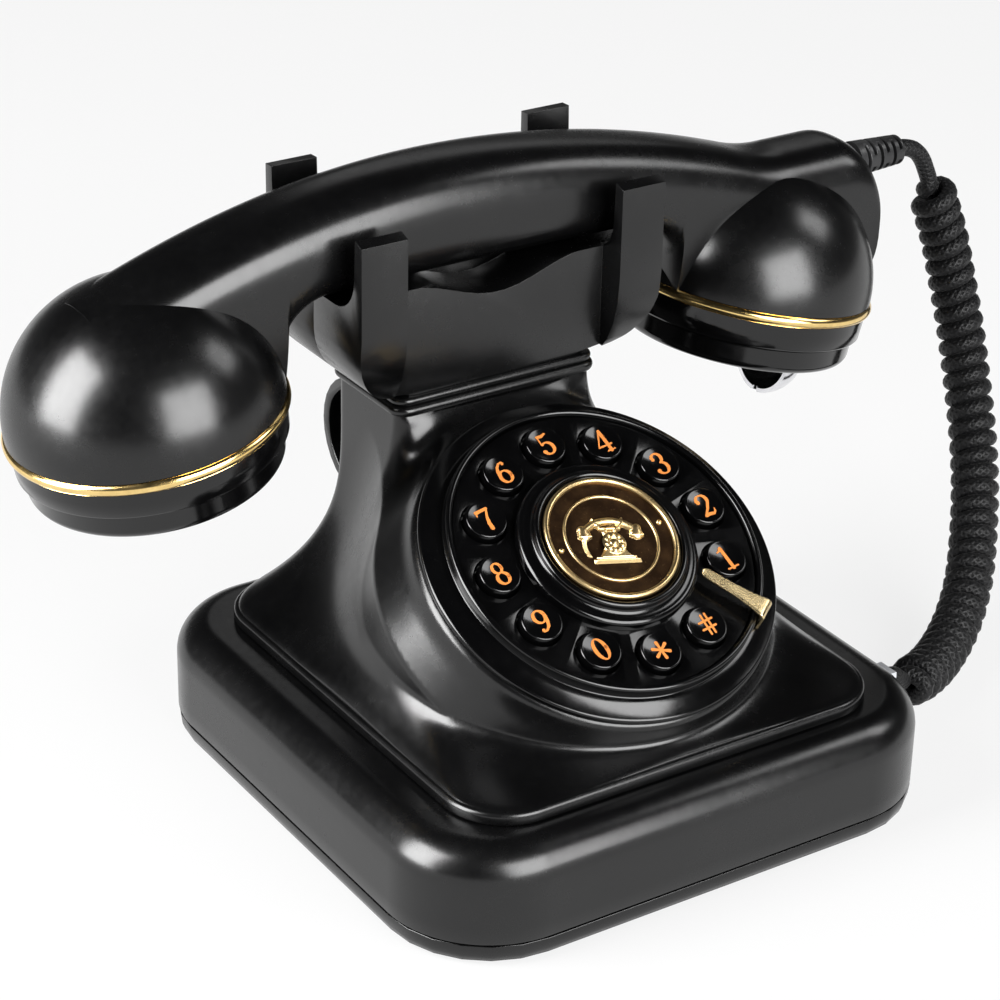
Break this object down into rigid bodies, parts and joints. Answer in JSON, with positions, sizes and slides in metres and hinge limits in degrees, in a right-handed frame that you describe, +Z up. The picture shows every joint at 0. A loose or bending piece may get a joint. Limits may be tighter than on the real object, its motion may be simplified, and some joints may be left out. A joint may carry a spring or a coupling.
{
  "type": "cradle telephone",
  "caption": "French-style cradle telephone: square base, tilted push-button dial, arched handset on a forked cradle, curled cord on one side.",
  "frame": {"origin": "bottom centre of the object without its cord, on the surface that the feet stand on, midway along the handset and the base", "axes": "+Z up, -Y the dial's side, -X the earpiece's side, +X the mouthpiece's and cord's side"},
  "size_m": [0.2918, 0.1535, 0.1547],
  "materials": {
    "base_plastic": "semi-gloss black",
    "body_plastic": "semi-gloss black",
    "handset_plastic": "semi-gloss black",
    "dial_plastic": "semi-gloss black",
    "key_plastic": "glossy dark grey caps with warm numerals",
    "inner_plastic": "plain dark moulding",
    "foot_rubber": "matt black",
    "gold_trim": "polished gold-coloured metal",
    "bronze": "dark bronze",
    "steel": "plain",
    "chrome": "bright",
    "ballast_iron": "plain",
    "board": "green circuit board",
    "silicone": "grey key membrane",
    "relief_rubber": "satin black",
    "cord_braid": "black woven cover",
    "plug_clear": "clear plug"
  },
  "bodies": {
    "base": {"base_shell": "base_plastic", "bottom_plate": "base_plastic", "rubber_feet": "foot_rubber", "bottom_screws": "steel", "ballast": "ballast_iron", "main_pcb": "board", "line_jack": "inner_plastic", "handset_jack": "inner_plastic", "ringer_speaker": "inner_plastic", "body_shell": "body_plastic", "collar": "body_plastic", "cradle_front": "body_plastic", "cradle_back": "body_plastic", "carry_handle": "body_plastic", "hook_spring": "steel", "hook_switch": "inner_plastic", "dial_bezel": "dial_plastic", "dial_plate": "dial_plastic", "dial_clip_ring": "inner_plastic", "keypad_membrane": "silicone", "keypad_pcb": "board", "centre_ring": "dial_plastic", "medallion": "bronze", "medallion_relief": "gold_trim", "finger_stop": "gold_trim", "cord_lead_top": "cord_braid", "cord_coil": "cord_braid", "cord_lead_end": "cord_braid", "cord_plug": "plug_clear"},
    "handset": {"handset_upper": "handset_plastic", "handset_lower": "handset_plastic", "handset_screws": "steel", "handset_weight": "ballast_iron", "earpiece_dome": "handset_plastic", "mouthpiece_dome": "handset_plastic", "earpiece_ring": "gold_trim", "mouthpiece_ring": "gold_trim", "earpiece_cap": "handset_plastic", "mouthpiece_cap": "handset_plastic", "receiver": "inner_plastic", "microphone": "inner_plastic", "mouth_horn": "chrome", "strain_relief": "relief_rubber"},
    "hook": {"hook_bar": "inner_plastic"},
    "ringer_slider": {"ringer_switch": "inner_plastic"},
    "key_body_1": {"key_1": "key_plastic"},
    "key_body_2": {"key_2": "key_plastic"},
    "key_body_3": {"key_3": "key_plastic"},
    "key_body_4": {"key_4": "key_plastic"},
    "key_body_5": {"key_5": "key_plastic"},
    "key_body_6": {"key_6": "key_plastic"},
    "key_body_7": {"key_7": "key_plastic"},
    "key_body_8": {"key_8": "key_plastic"},
    "key_body_9": {"key_9": "key_plastic"},
    "key_body_0": {"key_0": "key_plastic"},
    "key_body_star": {"key_star": "key_plastic"},
    "key_body_hash": {"key_hash": "key_plastic"}
  },
  "joints": [
    {"name": "handset_lift", "type": "slide", "parent": "base", "child": "handset", "axis": [0, 0, 1], "range_m": [0, 0.08]},
    {"name": "hook_travel", "type": "slide", "parent": "base", "child": "hook", "axis": [0, 0, 1], "range_m": [0, 0.0026], "deforming": ["hook_spring"]},
    {"name": "ringer_slide", "type": "slide", "parent": "base", "child": "ringer_slider", "axis": [1, 0, 0], "range_m": [-0.0025, 0.0025]},
    {"name": "press_1", "type": "slide", "parent": "base", "child": "key_body_1", "axis": [0, 0.521, -0.8536], "range_m": [0, 0.0012], "stiffness_N_per_m": 400, "springref_m": -0.0008},
    {"name": "press_2", "type": "slide", "parent": "base", "child": "key_body_2", "axis": [0, 0.521, -0.8536], "range_m": [0, 0.0012], "stiffness_N_per_m": 400, "springref_m": -0.0008},
    {"name": "press_3", "type": "slide", "parent": "base", "child": "key_body_3", "axis": [0, 0.521, -0.8536], "range_m": [0, 0.0012], "stiffness_N_per_m": 400, "springref_m": -0.0008},
    {"name": "press_4", "type": "slide", "parent": "base", "child": "key_body_4", "axis": [0, 0.521, -0.8536], "range_m": [0, 0.0012], "stiffness_N_per_m": 400, "springref_m": -0.0008},
    {"name": "press_5", "type": "slide", "parent": "base", "child": "key_body_5", "axis": [0, 0.521, -0.8536], "range_m": [0, 0.0012], "stiffness_N_per_m": 400, "springref_m": -0.0008},
    {"name": "press_6", "type": "slide", "parent": "base", "child": "key_body_6", "axis": [0, 0.521, -0.8536], "range_m": [0, 0.0012], "stiffness_N_per_m": 400, "springref_m": -0.0008},
    {"name": "press_7", "type": "slide", "parent": "base", "child": "key_body_7", "axis": [0, 0.521, -0.8536], "range_m": [0, 0.0012], "stiffness_N_per_m": 400, "springref_m": -0.0008},
    {"name": "press_8", "type": "slide", "parent": "base", "child": "key_body_8", "axis": [0, 0.521, -0.8536], "range_m": [0, 0.0012], "stiffness_N_per_m": 400, "springref_m": -0.0008},
    {"name": "press_9", "type": "slide", "parent": "base", "child": "key_body_9", "axis": [0, 0.521, -0.8536], "range_m": [0, 0.0012], "stiffness_N_per_m": 400, "springref_m": -0.0008},
    {"name": "press_0", "type": "slide", "parent": "base", "child": "key_body_0", "axis": [0, 0.521, -0.8536], "range_m": [0, 0.0012], "stiffness_N_per_m": 400, "springref_m": -0.0008},
    {"name": "press_star", "type": "slide", "parent": "base", "child": "key_body_star", "axis": [0, 0.521, -0.8536], "range_m": [0, 0.0012], "stiffness_N_per_m": 400, "springref_m": -0.0008},
    {"name": "press_hash", "type": "slide", "parent": "base", "child": "key_body_hash", "axis": [0, 0.521, -0.8536], "range_m": [0, 0.0012], "stiffness_N_per_m": 400, "springref_m": -0.0008}
  ],
  "couplings": [
    {"joint": "hook_travel", "follows": "handset_lift", "ratio": 0.0312}
  ]
}
